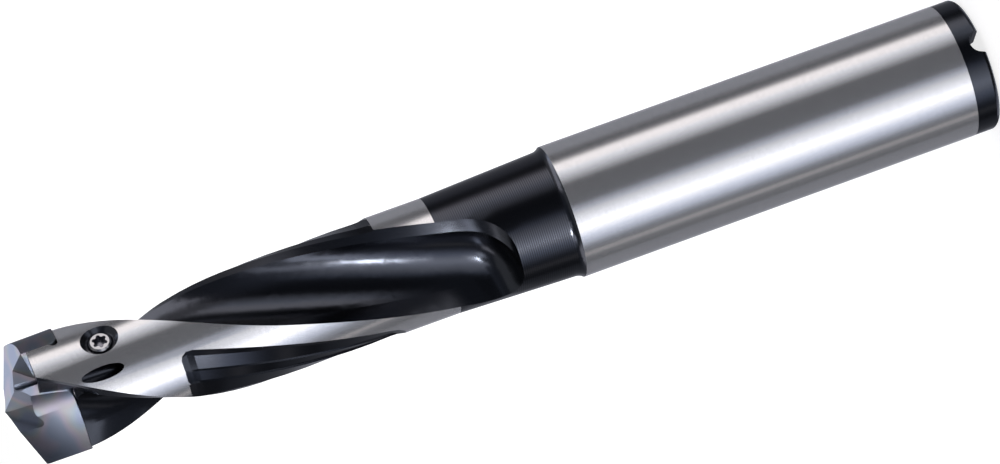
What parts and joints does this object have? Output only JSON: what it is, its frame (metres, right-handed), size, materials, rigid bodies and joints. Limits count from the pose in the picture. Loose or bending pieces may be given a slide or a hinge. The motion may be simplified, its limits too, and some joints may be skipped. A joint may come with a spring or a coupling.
{
  "type": "replaceable tip drill",
  "caption": "Steel drill with a straight round shank, helical flutes, a ground cutting tip held in a slot by a clamp screw, and coolant channels.",
  "frame": {"origin": "centre of the shank's end face, on which the drill stands", "axes": "+Z along the drill's axis towards the cutting point; the clamp screw is on the -Y side"},
  "size_m": [0.02, 0.02, 0.1507],
  "materials": {
    "holder": "ground shank and lands, black oxide flutes",
    "replaceable_tip": "blue-grey hard coating",
    "clamp_screw": "bright zinc"
  },
  "bodies": {
    "root": {"holder": "holder", "replaceable_tip": "replaceable_tip", "clamp_screw": "clamp_screw"}
  },
  "joints": []
}
